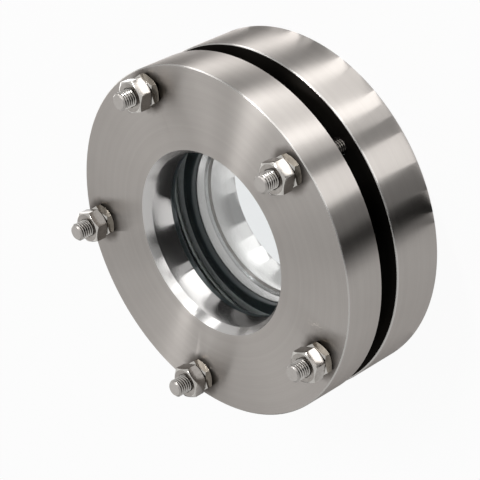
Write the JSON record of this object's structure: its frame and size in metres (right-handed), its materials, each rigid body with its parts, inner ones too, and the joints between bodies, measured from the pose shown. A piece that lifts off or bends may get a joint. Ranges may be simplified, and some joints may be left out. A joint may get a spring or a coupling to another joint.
{
  "type": "weld-on sight glass",
  "caption": "Round weld-on sight glass: a glass disc clamped with gaskets between a thick weld flange and a cover flange by studs and nuts.",
  "frame": {"origin": "centre of the weld flange's weld face, on the surface that the part stands on", "axes": "+Z along the glass axis, out of the cover and along the studs; +Y through the axis of stud_1"},
  "size_m": [0.2, 0.2, 0.09],
  "materials": {
    "flange_steel": "satin turned",
    "fastener_steel": "bright drawn",
    "glass": "polished",
    "gasket": "matt"
  },
  "bodies": {
    "root": {"weld_flange": "flange_steel", "cover_flange": "flange_steel", "sight_glass": "glass", "inner_gasket": "gasket", "outer_gasket": "gasket", "stud_1": "fastener_steel", "stud_2": "fastener_steel", "stud_3": "fastener_steel", "stud_4": "fastener_steel", "stud_5": "fastener_steel", "lock_nut_1": "fastener_steel", "lock_nut_2": "fastener_steel", "lock_nut_3": "fastener_steel", "lock_nut_4": "fastener_steel", "lock_nut_5": "fastener_steel", "hex_nut_1": "fastener_steel", "hex_nut_2": "fastener_steel", "hex_nut_3": "fastener_steel", "hex_nut_4": "fastener_steel", "hex_nut_5": "fastener_steel"}
  },
  "joints": []
}
